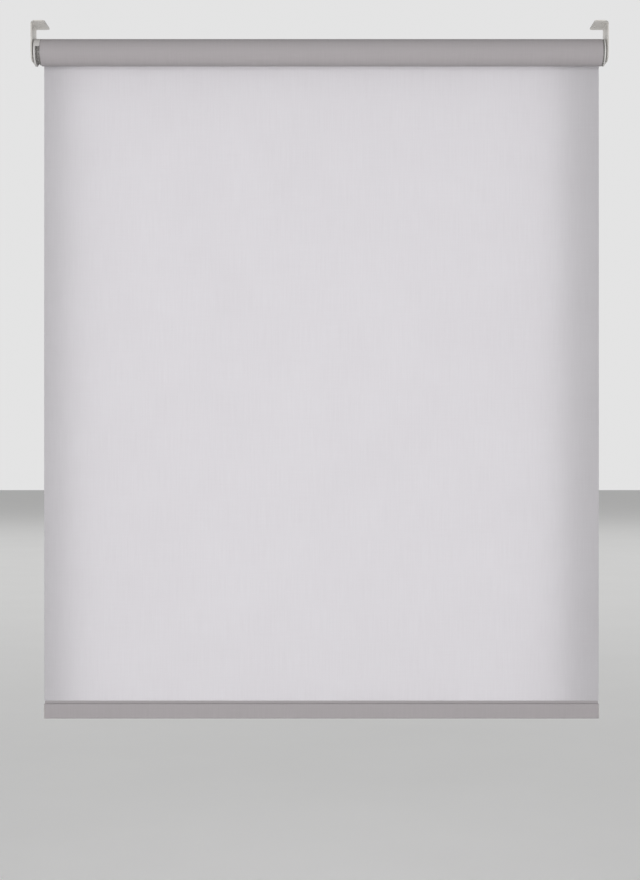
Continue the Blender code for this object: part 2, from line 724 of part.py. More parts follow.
def idle_plug(look, axis):
    """The end plug: a flange, a sleeve in the tube and a boss that houses the sprung pin."""
    back = PLUG_BACK_FACE
    face = -PLUG_FLANGE
    sleeve_bore = PLUG_SLEEVE - PLUG_SLEEVE_WALL
    profile = [
        (0, PIN_BORE),
        (0, TUBE_RADIUS),
        (face, TUBE_RADIUS),
        (face, PLUG_SLEEVE),
        (back, PLUG_SLEEVE),
        (back, sleeve_bore),
        (face, sleeve_bore),
        (face, BOSS_RADIUS),
        (back, BOSS_RADIUS),
        (back, TAIL_RADIUS + PIN_GAP),
        (SPRING_SEAT, TAIL_RADIUS + PIN_GAP),
        (SPRING_SEAT, PIN_CAVITY),
        (COLLAR_STOP, PIN_CAVITY),
        (COLLAR_STOP, PIN_BORE),
    ]
    made = piece("idle_plug", turned(profile, MEDIUM), look, axis, (PLUG_OUT, 0, 0))
    blades = fins(PLUG_SLEEVE - PLUG_SLEEVE_WALL / 2, back + TURN_GAP, face - TOUCH_GAP)
    combine(made, helper("idle_plug_fins", blades, axis, (PLUG_OUT, 0, 0)), "UNION")


def idle_pin(look, pin_axis):
    """The sprung pin: it holds the roller up, and is pushed in to take it down."""
    collar_front = COLLAR_BACK + COLLAR
    profile = [
        (PIN_TAIL, 0),
        (PIN_TAIL, TAIL_RADIUS),
        (COLLAR_BACK, TAIL_RADIUS),
        (COLLAR_BACK, COLLAR_RADIUS),
        (collar_front, COLLAR_RADIUS),
        (collar_front, PIN_RADIUS),
        (PIN_TIP - PIN_CHAMFER, PIN_RADIUS),
        (PIN_TIP, PIN_RADIUS - PIN_CHAMFER),
        (PIN_TIP, 0),
    ]
    piece("idle_pin", turned(profile, COARSE), look, pin_axis)


def pin_retaining_ring(look, pin_axis):
    """The ring on the pin's tail that keeps it from springing out."""
    bore = TAIL_RADIUS + TOUCH_GAP
    profile = [(0, bore), (0, RING_RADIUS), (RING, RING_RADIUS), (RING, bore)]
    piece("pin_retaining_ring", turned(profile, COARSE), look, pin_axis, (PIN_TAIL + RING / 2, 0, 0))


def idle_spring(look, axis):
    """The compression spring behind the pin's collar."""
    start = SPRING_SEAT + TOUCH_GAP + PIN_SPRING_WIRE / 2
    end = COLLAR_BACK - TOUCH_GAP - PIN_SPRING_WIRE / 2
    radius = (TAIL_RADIUS + PIN_CAVITY) / 2
    steps = PIN_SPRING_TURNS * 14
    points = []
    for i in range(steps + 1):
        angle = TURN * PIN_SPRING_TURNS * i / steps
        x = start + (end - start) * i / steps
        points.append((x, radius * math.cos(angle), radius * math.sin(angle)))
    coil("idle_spring", points, PIN_SPRING_WIRE / 2, look, axis, (PLUG_OUT, 0, 0))


def bar_outline(grow):
    """The hem bar's section, moved out by grow all round."""
    return stadium((0, 0), HEM_BAR_DEPTH + 2 * grow, HEM_BAR_HEIGHT + 2 * grow)


def pocket_outline():
    """The pocket's outside, with the welded band standing up from it in line with the cloth."""
    straight = (HEM_BAR_HEIGHT - HEM_BAR_DEPTH) / 2
    low, high = HEM_FORWARD - FABRIC, HEM_FORWARD + FABRIC
    top = SEAM_TOP - BAR_MIDDLE_Z
    back = math.acos(high / POCKET_END_RADIUS)
    front = math.acos(low / POCKET_END_RADIUS)
    outline = arc((0, -straight), POCKET_END_RADIUS, -math.pi, 0, 8)
    outline += arc((0, straight), POCKET_END_RADIUS, 0, back, 3)
    outline += [(high, top), (low, top)]
    outline += arc((0, straight), POCKET_END_RADIUS, front, math.pi, 6)
    return outline


def hem_bar(look, hem):
    """The hollow aluminium bar that weights the hem."""
    start = HEM_LEFT + CAP_FLANGE + TOUCH_GAP
    length = HEM_RIGHT - CAP_FLANGE - TOUCH_GAP - start
    shape = prism(bar_outline(0), length, hole=bar_outline(-HEM_BAR_WALL))
    piece("hem_bar", shape, look, hem, (start, 0, 0))


def hem_pocket(look, hem):
    """The cloth pocket round the bar."""
    start = HEM_LEFT + CAP_FLANGE + TOUCH_GAP
    length = HEM_RIGHT - CAP_FLANGE - TOUCH_GAP - start
    shape = prism(pocket_outline(), length, hole=bar_outline(TOUCH_GAP))
    piece("hem_pocket", shape, look, hem, (start, 0, 0))


def hem_cap(name, outer, direction, look, hem):
    """A push-in cap: a flange over the bar's end and a plug inside it."""
    flange = prism(bar_outline(POCKET_END_RADIUS - HEM_BAR_DEPTH / 2), CAP_FLANGE)
    plug = prism(bar_outline(-HEM_BAR_WALL - TOUCH_GAP), CAP_PLUG)
    back = CAP_FLANGE if direction < 0 else 0
    made = piece(name, shifted(flange, (-back, 0, 0)), look, hem, (outer, 0, 0))
    start = CAP_FLANGE / 2 if direction > 0 else -CAP_FLANGE / 2 - CAP_PLUG
    combine(made, helper(f"{name}_plug", shifted(plug, (start, 0, 0)), hem, (outer, 0, 0)), "UNION")


def build():
    clear_scene()
    painted_steel = finish("painted_steel", (0.62, 0.60, 0.57), 0.45)
    grey_abs = finish("grey_abs", (0.50, 0.49, 0.48), 0.5)
    grey_acetal = finish("grey_acetal", (0.20, 0.19, 0.19), 0.4)
    aluminium = finish("aluminium", (0.60, 0.60, 0.61), 0.35, 1.0)
    spring_steel = finish("spring_steel", (0.45, 0.45, 0.46), 0.3, 1.0)
    cloth = finish("polyester_cloth", (0.60, 0.59, 0.60), 0.85)

    head = empty("head_of_recess", (0, 0, 0))
    axis = empty("roller_axis", (0, 0, -ROLLER_DROP), head)
    pin_axis = empty("idle_pin_axis", (PLUG_OUT, 0, 0), axis)
    hem = empty("hem_middle", (0, HEM_MIDDLE, BAR_MIDDLE_Z), head)

    on_axis = (0, -ROLLER_DROP)
    spigot_hole = rectangle(on_axis, SPIGOT_WIDTH + 2 * TOUCH_GAP, SPIGOT_HEIGHT + 2 * TOUCH_GAP)
    bracket("control_bracket", -1, spigot_hole, painted_steel, head)
    bracket("idle_bracket", 1, circle(on_axis, PIN_BORE, COARSE), painted_steel, head)

    control_housing(grey_abs, axis)
    fixed_post(grey_acetal, axis)
    chain_wheel(grey_acetal, axis)
    spring_length = SPRING_PITCH * SPRING_TURNS + 2 * WIRE
    first_spring = DRIVE_OUT + WIRE
    clutch_spring("clutch_spring_outer", first_spring, spring_steel, axis)
    clutch_spring("clutch_spring_inner", first_spring + spring_length, spring_steel, axis)
    drive_core(grey_acetal, axis)
    tube_adaptor(grey_acetal, axis)
    core_washer(spring_steel, axis)
    core_screw(spring_steel, axis)

    roller_tube(aluminium, axis)
    fabric_fixing_strip(grey_abs, axis)
    fabric_roll(cloth, axis)
    fabric_sheet(cloth, head)

    idle_socket(grey_abs, axis)
    idle_plug(grey_acetal, axis)
    idle_pin(grey_acetal, pin_axis)
    pin_retaining_ring(spring_steel, pin_axis)
    idle_spring(spring_steel, axis)

    hem_bar(aluminium, hem)
    hem_pocket(cloth, hem)
    hem_cap("hem_cap_left", HEM_LEFT, 1, grey_abs, hem)
    hem_cap("hem_cap_right", HEM_RIGHT, -1, grey_abs, hem)


build()
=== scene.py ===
# %% [markdown]
# # A roller blind, rolled down
#
# The frame holds every hard piece of the blind at its true size: brackets, end pieces, tube and
# hem bar. This lesson gives it its looks. Cloth is made as cloth, the two brackets as folded
# sheet steel, the end pieces as mouldings, and each finish as a material worked out from how
# the real one is made.
#
# The origin is on the head of the recess, midway between the brackets. +X runs to the right
# along the roller, +Y towards the window and +Z up. Every size is in metres.

import json
import math

import bmesh
import bpy
import numpy as np
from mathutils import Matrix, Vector
from mathutils.geometry import delaunay_2d_cdt


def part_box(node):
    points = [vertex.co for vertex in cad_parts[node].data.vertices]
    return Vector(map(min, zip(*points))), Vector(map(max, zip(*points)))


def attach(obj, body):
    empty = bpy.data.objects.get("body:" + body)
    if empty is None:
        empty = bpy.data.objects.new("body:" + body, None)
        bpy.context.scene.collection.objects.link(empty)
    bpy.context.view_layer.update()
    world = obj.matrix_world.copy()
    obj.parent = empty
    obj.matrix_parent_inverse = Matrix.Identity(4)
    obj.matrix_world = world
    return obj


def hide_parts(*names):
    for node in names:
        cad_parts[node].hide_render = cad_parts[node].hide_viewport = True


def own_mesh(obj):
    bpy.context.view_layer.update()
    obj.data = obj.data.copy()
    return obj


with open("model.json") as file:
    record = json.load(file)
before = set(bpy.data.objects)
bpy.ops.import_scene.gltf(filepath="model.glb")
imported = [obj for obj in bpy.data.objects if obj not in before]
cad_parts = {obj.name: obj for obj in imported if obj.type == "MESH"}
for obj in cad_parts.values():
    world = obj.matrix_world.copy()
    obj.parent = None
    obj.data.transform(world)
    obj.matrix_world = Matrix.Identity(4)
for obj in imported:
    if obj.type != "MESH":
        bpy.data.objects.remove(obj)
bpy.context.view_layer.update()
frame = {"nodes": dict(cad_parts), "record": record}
MM = 0.001
TURN = 2 * math.pi

# %% [markdown]
# ## Tools for surfaces
#
# Every new piece is a surface that two numbers run over: how far along a line, and how far along
# the path that carries the line. The points come out as one table, and the faces join each
# point to its neighbours in the table. A table can close on itself either way round, as the
# skin of a tube or a ring does.

# %% From a table of points to a mesh
def skin(rows, columns, ring=False, loop=False):
    """Four-sided faces over a table of points: each joins (i, j), (i, j+1), (i+1, j+1) and (i+1, j).

    With ring the last row joins the first, and with loop the last column joins the first.
    """
    i, j = np.meshgrid(np.arange(rows - (not ring)), np.arange(columns - (not loop)), indexing="ij")
    on, across = (i + 1) % rows, (j + 1) % columns
    corners = [i * columns + j, i * columns + across, on * columns + across, on * columns + j]
    return np.stack(corners, -1).reshape(-1, 4)


def made_of(name, parts, look, uv=None, sharp=35):
    """A mesh object from one or more (points, faces) shells, welded, with its faces outwards."""
    points, faces, start = [], [], 0
    for part_points, part_faces in parts:
        points.append(np.asarray(part_points, float).reshape(-1, 3))
        faces += [[start + k for k in face] for face in part_faces]
        start += len(points[-1])
    mesh = bpy.data.meshes.new(name)
    mesh.from_pydata(np.concatenate(points), [], faces)
    if uv is not None:
        corner = np.zeros(len(mesh.loops), np.int32)
        mesh.loops.foreach_get("vertex_index", corner)
        on_cloth = np.asarray(uv, np.float32).reshape(-1, 2)[corner]
        mesh.uv_layers.new(name="UVMap").uv.foreach_set("vector", on_cloth.ravel())
    work = bmesh.new()
    work.from_mesh(mesh)
    bmesh.ops.remove_doubles(work, verts=work.verts, dist=1e-7)
    bmesh.ops.recalc_face_normals(work, faces=work.faces)
    work.to_mesh(mesh)
    work.free()
    mesh.shade_smooth()
    mesh.set_sharp_from_angle(angle=math.radians(sharp))
    mesh.materials.append(look)
    made = bpy.data.objects.new(name, mesh)
    bpy.context.scene.collection.objects.link(made)
    low, high = np.min(mesh_points(made), 0), np.max(mesh_points(made), 0)
    print(name, len(mesh.polygons), "faces,", np.round((high - low) / MM, 1), "mm")
    return made


def mesh_points(obj):
    found = np.zeros(len(obj.data.vertices) * 3)
    obj.data.vertices.foreach_get("co", found)
    return found.reshape(-1, 3)


# %% [markdown]
# Most outlines here are straight lines with rounded corners. One function rounds them all at
# once: at each corner it finds the centre of the arc, on the line that halves the corner, and
# swings a radius from one tangent point to the other.

# %% Rounded outlines
def rounded(corners, radii, steps=8, loop=True):
    """A line through the corners, with an arc of the given radius at each.

    The arc's centre is the radius over sin(half the corner) along the halving line. A point on
    it is the centre plus the two end radii a and b, as
    (sin((1 - s) turn) a + sin(s turn) b) / sin(turn), for s from 0 to 1.
    An open line keeps its two ends.
    """
    corners = np.asarray(corners, float)
    radii = np.broadcast_to(np.asarray(radii, float), len(corners))[:, None]
    back = np.roll(corners, 1, 0) - corners
    on = np.roll(corners, -1, 0) - corners
    back /= np.linalg.norm(back, axis=1, keepdims=True)
    on /= np.linalg.norm(on, axis=1, keepdims=True)
    half = np.arccos(np.clip((back * on).sum(1, keepdims=True), -1, 1)) / 2
    middle = (back + on) / np.maximum(np.linalg.norm(back + on, axis=1, keepdims=True), 1e-9)
    centre = corners + middle * radii / np.sin(half)
    a = corners + back * radii / np.tan(half) - centre
    b = corners + on * radii / np.tan(half) - centre
    turn = (math.pi - 2 * half)[:, None, :]
    s = np.linspace(0, 1, steps + 1)[None, :, None]
    swung = np.sin((1 - s) * turn) * a[:, None] + np.sin(s * turn) * b[:, None]
    arcs = centre[:, None] + swung / np.sin(turn)
    if loop:
        return arcs.reshape(-1, 2)
    return np.concatenate([corners[:1], arcs[1:-1].reshape(-1, 2), corners[-1:]])


def circle(centre, radius, steps):
    """Points at the centre plus radius times (cos, sin) of evenly spaced angles."""
    angle = np.arange(steps) * TURN / steps
    return np.stack([centre[0] + radius * np.cos(angle), centre[1] + radius * np.sin(angle)], -1)


# %% [markdown]
# Two carriers turn an outline into a solid: one takes it along X in steps, and may let it grow
# or shrink on the way, and the other swings it round the roller's axis. Two more make cloth: one
# lays a line out along X, and the other closes a table of two faces into a thick sheet.

# %% Solids from outlines
def carried(outlines, x):
    """A closed solid: outline k, as (y, z) points, stands at x[k]. The two ends are flat faces."""
    outlines = np.asarray(outlines, float)
    rows, columns = outlines.shape[:2]
    x = np.broadcast_to(np.asarray(x, float)[:, None, None], (rows, columns, 1))
    points = np.concatenate([x, outlines], -1)
    ends = [list(range(columns)), list(range((rows - 1) * columns, rows * columns))]
    return points, skin(rows, columns, loop=True).tolist() + ends


def turned(line, steps, start=0.0, sweep=TURN):
    """A line of (x, radius) points swung round the roller's axis.

    y is radius cos(angle) and z is radius sin(angle). Over a whole turn it closes on itself. Over
    less, the line is a closed outline and the two ends are flat faces.
    """
    line = np.asarray(line, float)
    whole = sweep >= TURN
    angle = start + sweep * np.arange(steps + (not whole)) / steps
    y = line[None, :, 1] * np.cos(angle)[:, None]
    z = line[None, :, 1] * np.sin(angle)[:, None] + axis_z
    points = np.stack([np.broadcast_to(line[None, :, 0], y.shape), y, z], -1)
    open_line = whole and line[0, 1] == 0 and line[-1, 1] == 0
    faces = skin(len(angle), len(line), ring=whole, loop=not open_line).tolist()
    if not whole:
        last = (len(angle) - 1) * len(line)
        faces += [list(range(len(line))), list(range(last, last + len(line)))]
    return points, faces


def along_x(line, stations, y, z):
    """A (y, z) line, moved by y and z, at every station along X: each is one row of the table."""
    across = np.broadcast_to(line + [y, z], (len(stations), *line.shape))
    x = np.broadcast_to(stations[:, None, None], (*across.shape[:2], 1))
    return np.concatenate([x, across], -1)


def thick_sheet(table):
    """A closed sheet: each row runs along one face of the cloth and back along the other.

    The first and the last row are filled in with faces from one side of the cloth to the other.
    """
    rows, columns = table.shape[:2]
    k = np.arange(columns // 2 - 1)
    cap = np.stack([k, k + 1, columns - 2 - k, columns - 1 - k], -1)
    faces = np.concatenate([skin(rows, columns, loop=True), cap, cap + (rows - 1) * columns])
    return table, faces.tolist()


roll_low, roll_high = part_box("fabric_roll")
axis_z = (roll_low.z + roll_high.z) / 2
roll_radius = (roll_high.z - roll_low.z) / 2
tube_radius = (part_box("roller_tube")[1].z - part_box("roller_tube")[0].z) / 2
print("axis", round(axis_z / MM, 2), "radii", round(roll_radius / MM, 2), round(tube_radius / MM, 2))

# %% [markdown]
# ## Tools for finishes
#
# Colours are written as sRGB hex, as a paint card gives them, and one function turns them to
# the linear numbers that light is added up in. One more function adds a node with its settings
# and its links, so that each finish reads as a list of what it is made of.

# %% Colours and nodes
def linear(paint):
    """sRGB hex to linear.

    The share of 255 is divided by 12.92 up to 0.04045, and is ((share + 0.055) / 1.055) ** 2.4 above.
    """
    share = np.array([int(paint[k : k + 2], 16) for k in (1, 3, 5)]) / 255
    curved = ((share + 0.055) / 1.055) ** 2.4
    return (*np.where(share <= 0.04045, share / 12.92, curved).tolist(), 1.0)


def add(tree, kind, inputs=None, **settings):
    """Adds a node, sets its properties, then gives each named or numbered input a value or a link."""
    made = tree.nodes.new("ShaderNode" + kind)
    for name, value in settings.items():
        setattr(made, name, value)
    for name, value in (inputs or {}).items():
        if isinstance(value, bpy.types.NodeSocket):
            tree.links.new(value, made.inputs[name])
        else:
            made.inputs[name].default_value = value
    return made


def ranged(tree, value, taken, given):
    """A node that maps the range taken onto the range given."""
    limits = {"From Min": taken[0], "From Max": taken[1], "To Min": given[0], "To Max": given[1]}
    return add(tree, "MapRange", {"Value": value, **limits})


def finish_named(name):
    """An empty material and its node tree, with the output node."""
    made = bpy.data.materials.new(name)
    made.use_nodes = True
    made.node_tree.nodes.clear()
    return made, made.node_tree, add(made.node_tree, "OutputMaterial")


# %% [markdown]
# ### Woven polyester
#
# The cloth is a plain weave of light grey polyester yarn, about 0.35 mm from thread to thread,
# stiffened with a clear coating. To the eye it is matt and even, lets part of the light
# through as a soft glow, and shows faint streaks where a yarn is a little thicker.
# The weave is drawn at 1.4 mm, four times coarser than the real one, so that it still shows in
# a picture of the whole blind.
#
# In a plain weave, threads take turns to be on top. A checker says which one is, and the top
# thread's roundness is a sine across it.

# %% Woven polyester
THREAD = 1.4 * MM


def woven_polyester(name, place, dark, light, glow_colour, through):
    """The cloth's finish.

    place is the coordinate the weave follows, in metres: "UV" for wrapped cloth, "Object" for the
    hanging sheet. A share called through of what falls on the yarn goes on inside, tinted by
    glow_colour, and the rest is turned back.
    """
    made, tree, out = finish_named(name)
    where = add(tree, "TexCoord")
    if place == "UV":
        flat = where.outputs["UV"]
    else:
        upright = {"Vector": where.outputs["Object"], "Rotation": (-math.pi / 2, 0, 0)}
        flat = add(tree, "Mapping", upright).outputs[0]
    threads = add(tree, "VectorMath", {0: flat, "Scale": 1 / THREAD}, operation="SCALE")
    level = add(tree, "VectorMath", {0: threads.outputs[0], 1: (1, 1, 0)}, operation="MULTIPLY")
    black_white = {"Color1": (1, 1, 1, 1), "Color2": (0, 0, 0, 1), "Scale": 1.0}
    over = add(tree, "TexChecker", {"Vector": level.outputs[0], **black_white})
    half_turns = add(tree, "VectorMath", {0: level.outputs[0], "Scale": math.pi}, operation="SCALE")
    waves = add(tree, "VectorMath", {0: half_turns.outputs[0]}, operation="SINE")
    humps = add(tree, "VectorMath", {0: waves.outputs[0]}, operation="ABSOLUTE")
    crowns = add(tree, "SeparateXYZ", {0: humps.outputs[0]})
    height = add(tree, "Mix", {0: over.outputs["Fac"], 2: crowns.outputs["X"], 3: crowns.outputs["Y"]})
    # A yarn's thick places: streaks 2 mm wide and 60 mm long, along the cloth and across it.
    lengthways = add(tree, "VectorMath", {0: flat, 1: (500, 16, 0)}, operation="MULTIPLY")
    crossways = add(tree, "VectorMath", {0: flat, 1: (16, 500, 0)}, operation="MULTIPLY")
    warp = add(tree, "TexNoise", {"Vector": lengthways.outputs[0], "Scale": 1.0, "Detail": 2.0})
    weft = add(tree, "TexNoise", {"Vector": crossways.outputs[0], "Scale": 1.0, "Detail": 2.0})
    clouds = add(tree, "TexNoise", {"Vector": flat, "Scale": 9.0, "Detail": 3.0})
    # The weave's height goes into the colour as well as the bump: painted shade, a little darker in the dips
    # between the threads than on their crowns.
    total = 0.0
    for part, weight in ((warp, 0.6), (weft, 0.3), (clouds, 0.3), (height, 0.25)):
        tone = add(tree, "Math", {0: part.outputs[0], 1: weight, 2: total}, operation="MULTIPLY_ADD")
        total = tone.outputs[0]
    shade = add(tree, "MapRange", {"Value": tone.outputs[0], "From Min": 0.45, "From Max": 1.0})
    colour = add(tree, "Mix", {0: shade.outputs[0], 6: linear(dark), 7: linear(light)}, data_type="RGBA")
    bump = add(tree, "Bump", {"Height": height.outputs[0], "Strength": 0.35, "Distance": 0.12 * MM})
    surface = add(
        tree,
        "BsdfPrincipled",
        {
            "Base Color": colour.outputs[2],
            "Roughness": 0.85,
            "IOR": 1.5,
            "Sheen Weight": 0.15,
            "Sheen Roughness": 0.5,
            "Normal": bump.outputs[0],
        },
    )
    tints = {6: linear(glow_colour[0]), 7: linear(glow_colour[1])}
    lit = add(tree, "Mix", {0: shade.outputs[0], **tints}, data_type="RGBA")
    glow = add(tree, "BsdfTranslucent", {"Color": lit.outputs[2], "Normal": bump.outputs[0]})
    mixed = add(tree, "MixShader", {0: through, 1: surface.outputs[0], 2: glow.outputs[0]})
    tree.links.new(mixed.outputs[0], out.inputs["Surface"])
    return made


# One cloth, in two copies with their own colours. The hanging copy is painted lighter and a more neutral grey:
# painted light. The copy on the roll and in the hem is painted darker and pinker: painted shade.
painted_light_cloth = woven_polyester(
    "woven_polyester_painted_lighter", "Object", "#BEBCBE", "#C5C3C6", glow_colour=("#EAE8EB", "#EEEDEF"), through=0.46
)
painted_shade_cloth = woven_polyester(
    "woven_polyester_painted_darker", "UV", "#B1ACAE", "#B8B3B5", glow_colour=("#B1ACAE", "#B8B3B5"), through=0.25
)
print("cloth finishes:", painted_light_cloth.name, painted_shade_cloth.name)

# %% [markdown]
# ### Powder-coated steel
#
# The brackets are 2 mm pressed steel with a light warm-grey powder coat. Powder melts into a
# skin with a fine orange peel, dimples about 1.5 mm across, which breaks up a reflection. The
# coat is thinnest on an edge, where it rubs through first: a small attribute on the bracket's
# mesh holds the distance to the nearest edge, and the finish turns darker there.

# %% Powder-coated steel
def powder_coated_steel():
    made, tree, out = finish_named("powder_coated_steel")
    place = add(tree, "TexCoord").outputs["Object"]
    peel = add(tree, "TexNoise", {"Vector": place, "Scale": 700.0, "Detail": 1.0})
    drift = add(tree, "TexNoise", {"Vector": place, "Scale": 60.0, "Detail": 2.0})
    distance = add(tree, "Attribute", attribute_name="edge_distance")
    uneven = {0: drift.outputs["Fac"], 1: -1.6 * MM, 2: distance.outputs["Fac"]}
    ragged = add(tree, "Math", uneven, operation="MULTIPLY_ADD")
    worn = ranged(tree, ragged.outputs[0], (-0.75 * MM, -0.35 * MM), (0.55, 0.0))
    paints = {6: linear("#D5D2CD"), 7: linear("#DEDBD6")}
    paint = add(tree, "Mix", {0: drift.outputs["Fac"], **paints}, data_type="RGBA")
    bare = {0: worn.outputs[0], 6: paint.outputs[2], 7: linear("#A9A6A1")}
    colour = add(tree, "Mix", bare, data_type="RGBA")
    gloss = ranged(tree, drift.outputs["Fac"], (0.3, 0.7), (0.38, 0.5))
    bump = add(tree, "Bump", {"Height": peel.outputs["Fac"], "Strength": 0.2, "Distance": 0.03 * MM})
    surface = add(
        tree,
        "BsdfPrincipled",
        {
            "Base Color": colour.outputs[2],
            "Roughness": gloss.outputs[0],
            "IOR": 1.5,
            "Coat Weight": 0.2,
            "Normal": bump.outputs[0],
        },
    )
    tree.links.new(surface.outputs[0], out.inputs["Surface"])
    return made


steel_finish = powder_coated_steel()
print("bracket finish:", steel_finish.name)

# %% [markdown]
# ### Mouldings, tube and springs
#
# The end discs, the hood, the plugs and the hem caps are moulded ABS, from a mould that was
# spark-eroded to a fine grain of 0.4 mm: matt, with soft highlights. The chain wheel and the
# pin are acetal, a slippery plastic that comes out of the mould smooth and slightly waxy. The
# tube and the hem bar are extruded aluminium as it leaves the die, with fine lines along their
# length. Springs, screw and washer are oiled steel wire and plate.

# %% Plastics and metals
def moulded(name, dark, light, grain, depth, rough):
    """A moulded plastic: grain is the size of the mould's texture and depth its depth, in metres."""
    made, tree, out = finish_named(name)
    place = add(tree, "TexCoord").outputs["Object"]
    texture = add(tree, "TexNoise", {"Vector": place, "Scale": 1 / grain, "Detail": 2.0})
    flow = add(tree, "TexNoise", {"Vector": place, "Scale": 90.0, "Detail": 3.0})
    colour = add(tree, "Mix", {0: flow.outputs["Fac"], 6: linear(dark), 7: linear(light)}, data_type="RGBA")
    gloss = ranged(tree, flow.outputs["Fac"], (0.3, 0.7), (rough - 0.05, rough + 0.07))
    bump = add(tree, "Bump", {"Height": texture.outputs["Fac"], "Strength": 0.4, "Distance": depth})
    look = {"Base Color": colour.outputs[2], "Roughness": gloss.outputs[0], "Normal": bump.outputs[0]}
    surface = add(tree, "BsdfPrincipled", {**look, "IOR": 1.5})
    tree.links.new(surface.outputs[0], out.inputs["Surface"])
    return made


def drawn_metal(name, dark, light, lines, rough):
    """A metal with fine lines along X, spaced by lines in metres: noise stretched forty times."""
    made, tree, out = finish_named(name)
    place = add(tree, "TexCoord").outputs["Object"]
    scales = (0.025 / lines, 1 / lines, 1 / lines)
    stretched = add(tree, "VectorMath", {0: place, 1: scales}, operation="MULTIPLY")
    draw = add(tree, "TexNoise", {"Vector": stretched.outputs[0], "Scale": 1.0, "Detail": 3.0})
    colour = add(tree, "Mix", {0: draw.outputs["Fac"], 6: linear(dark), 7: linear(light)}, data_type="RGBA")
    gloss = ranged(tree, draw.outputs["Fac"], (0.3, 0.7), (rough - 0.08, rough + 0.08))
    bump = add(tree, "Bump", {"Height": draw.outputs["Fac"], "Strength": 0.2, "Distance": 0.02 * MM})
    look = {"Base Color": colour.outputs[2], "Roughness": gloss.outputs[0], "Normal": bump.outputs[0]}
    surface = add(tree, "BsdfPrincipled", {**look, "Metallic": 1.0})
    tree.links.new(surface.outputs[0], out.inputs["Surface"])
    return made


abs_finish = moulded("moulded_abs", "#BAB8B6", "#C4C2C0", 0.4 * MM, 0.03 * MM, 0.5)
# The acetal's dark grey is partly its own colour and partly painted shade, for the narrow gaps at the roll's
# ends and the wheel under the hood.
acetal_with_painted_shade = moulded("moulded_acetal_with_painted_shade", "#7E7C79", "#898784", 1.2 * MM, 0.01 * MM, 0.36)
aluminium_finish = drawn_metal("extruded_aluminium", "#C4C5C8", "#D6D7D9", 0.4 * MM, 0.36)
spring_finish = drawn_metal("oiled_spring_steel", "#8F8F91", "#A6A6A8", 0.3 * MM, 0.3)
print("mouldings:", abs_finish.name, acetal_with_painted_shade.name)
print("metals:", aluminium_finish.name, spring_finish.name)

# %% [markdown]
# ### Finishes for the frame's own pieces
#
# Pieces that are made well enough in the frame keep their shape and only take a finish, by the
# material slot that each has in the record.

# %% Finishes by slot
slot_finish = {
    "painted_steel": steel_finish,
    "grey_abs": abs_finish,
    "grey_acetal": acetal_with_painted_shade,
    "aluminium": aluminium_finish,
    "spring_steel": spring_finish,
    "polyester_cloth": painted_shade_cloth,
}
slot_of = {row["node"]: row["material_slot"] for row in frame["record"]["subparts"]}
for node, obj in frame["nodes"].items():
    obj.data.materials.clear()
    obj.data.materials.append(slot_finish[slot_of[node]])
print("finished", len(slot_of), "frame pieces")


def stands_for(made, node, body):
    """A new piece takes the place of a frame node: it rides on the same body, and the node is hidden."""
    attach(made, body)
    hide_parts(node)
    return made


# %% [markdown]
# ## The hanging cloth
#
# The cloth leaves the back of the roll and hangs straight down to the hem bar, which pulls it
# flat. Its shape is written down rather than simulated: a table of points across and down,
# whose depth is the plane of the cloth plus what a real blind shows. At the top it eases onto
# the roll. Lower down it waves by a few tenths of a millimetre, and its two free edges cup
# slightly, because heat-cut cloth shrinks there.

# %% Depth of the hanging cloth
CLOTH = 0.48 * MM
sheet_low, sheet_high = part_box("fabric_sheet")
sheet_top, sheet_bottom = axis_z, sheet_low.z
sheet_width, sheet_drop = sheet_high.x - sheet_low.x, sheet_top - sheet_bottom
sheet_depth = (sheet_low.y + sheet_high.y) / 2
EASE, EASE_REACH = 0.26 * MM, 0.025
WIDE_WAVE, WIDE_LENGTH = 0.35 * MM, 0.31
NARROW_WAVE, NARROW_LENGTH = 0.2 * MM, 0.137
CUP, CUP_REACH = 1.1 * MM, 0.014


def cloth_depth(x, z):
    """Depth of the cloth's middle: its plane, with its ease onto the roll, waves and cupped edges.

    The ease falls off as exp(-d / reach), d below the roller's axis, and the cup does the same
    from each side edge. Two slow sine waves run across. The waves are held to nothing at both ends
    by sin(pi v), v being the share of the drop, and the cups by its square root.
    """
    v = (sheet_top - z) / sheet_drop
    held = np.sin(math.pi * v)
    eased = -EASE * np.exp(-(sheet_top - z) / EASE_REACH)
    waves = WIDE_WAVE * np.sin(TURN * x / WIDE_LENGTH + 0.6 + v)
    waves = waves + NARROW_WAVE * np.sin(TURN * x / NARROW_LENGTH + 2.1 - 2 * v)
    to_edge = np.minimum(x - sheet_low.x, sheet_high.x - x)
    cup = -CUP * np.exp(-to_edge / CUP_REACH) * np.sqrt(np.abs(held))
    return sheet_depth + eased + waves * held + cup


# %% The hanging cloth
EDGE_SHARE = 0.04  # of the width, on each side, where the points stand closer
edge = EDGE_SHARE * (1 - np.cos(np.linspace(0, math.pi / 2, 13)))
across = np.concatenate([edge, np.linspace(EDGE_SHARE, 0.96, 73)[1:-1], 1 - edge[::-1]])
down = np.linspace(0, 1, 97) ** 1.25
x, z = np.meshgrid(sheet_low.x + sheet_width * across, sheet_top - sheet_drop * down, indexing="ij")
depth = cloth_depth(x, z)
front = np.stack([x, depth - CLOTH / 2, z], -1)
back = np.stack([x, depth + CLOTH / 2, z], -1)
table = np.concatenate([front, back[:, ::-1]], 1)
hanging_cloth = made_of("hanging_cloth", [thick_sheet(table)], painted_light_cloth)
stands_for(hanging_cloth, "fabric_sheet", "brackets")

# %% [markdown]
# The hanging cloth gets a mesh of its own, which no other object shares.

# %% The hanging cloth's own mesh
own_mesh(hanging_cloth)

# %% [markdown]
# ## The cloth on the roll
#
# With the blind down, three turns are left on the tube. At the end of each turn the cloth
# climbs onto the start of that turn, so the radius goes up in steps of one thickness, each
# eased over a twelfth of a turn. The climbs lie at the bottom of the roll, towards the window.
# The last end thins away over the climb below it, which keeps the roll round.

